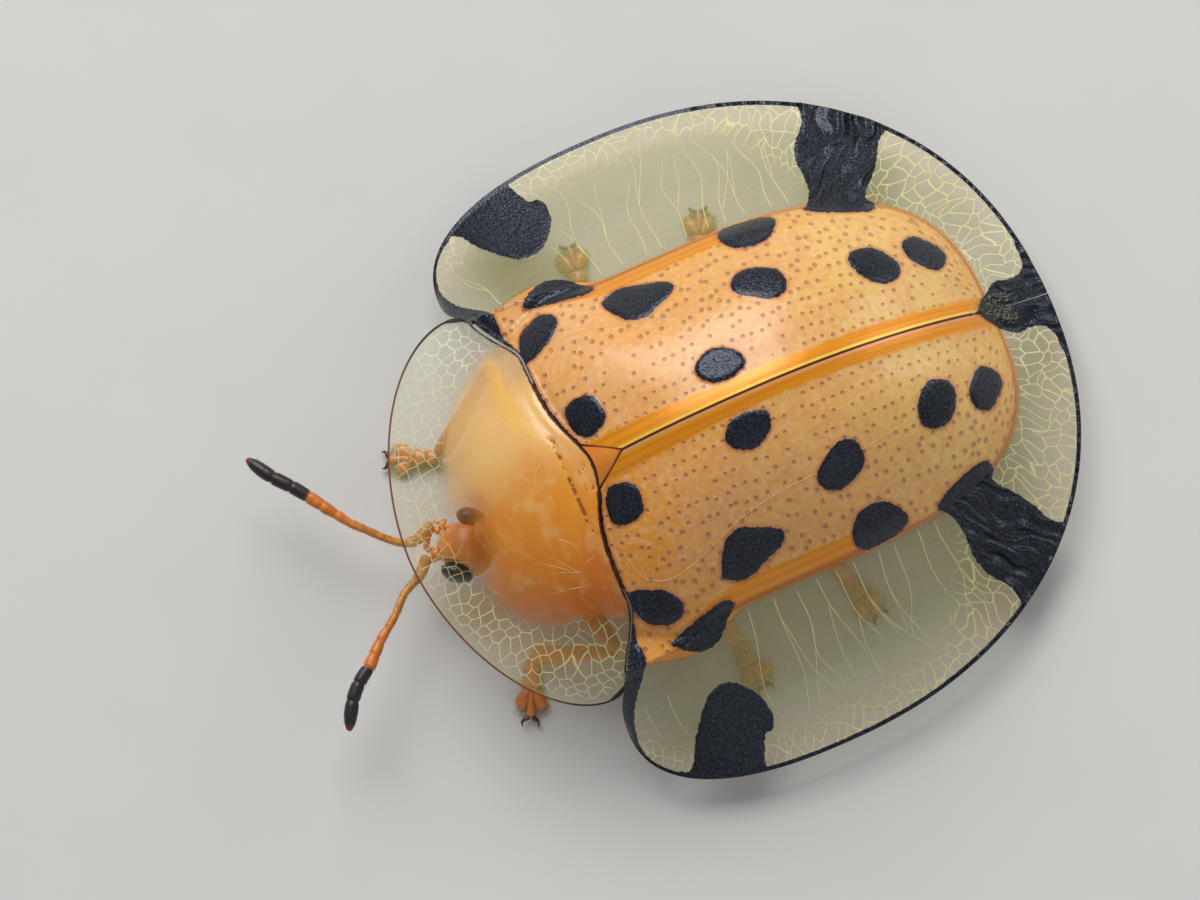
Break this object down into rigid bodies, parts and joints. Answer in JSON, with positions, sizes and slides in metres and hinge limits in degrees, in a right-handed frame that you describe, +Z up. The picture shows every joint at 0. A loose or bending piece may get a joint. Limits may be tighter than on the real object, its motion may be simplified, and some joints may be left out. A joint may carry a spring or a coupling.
{
  "type": "tortoise beetle model",
  "caption": "Life-size model of a spotted tortoise beetle: domed wing cases with wide clear margins, broad neck shield, long feelers and legs on flat feet.",
  "frame": {"origin": "middle of the outline on the floor the feet stand on", "axes": "+Z up, -Y the way the head faces, +X the beetle's left side"},
  "size_m": [0.0132, 0.0164, 0.0051],
  "materials": {
    "wing_case": "glossy amber shell with raised black spots and a clear yellowish margin",
    "neck_shield": "glossy, clear at the margin, milky orange in the middle",
    "body": "satin orange-brown",
    "legs": "satin amber",
    "claws": "glossy dark brown",
    "feelers": "satin amber with black tips",
    "eyes": "glossy black"
  },
  "bodies": {
    "root": {"elytron_left": "wing_case", "elytron_right": "wing_case", "scutellum": "wing_case", "pronotum": "neck_shield", "prothorax": "body", "thorax": "body", "abdomen": "body", "head": "body", "eye_left": "eyes", "eye_right": "eyes", "antenna_right": "feelers", "antenna_left": "feelers", "leg_front_left": "legs", "claws_front_left": "claws", "leg_front_right": "legs", "claws_front_right": "claws", "leg_middle_left": "legs", "claws_middle_left": "claws", "leg_middle_right": "legs", "claws_middle_right": "claws", "leg_hind_left": "legs", "claws_hind_left": "claws", "leg_hind_right": "legs", "claws_hind_right": "claws"}
  },
  "joints": []
}
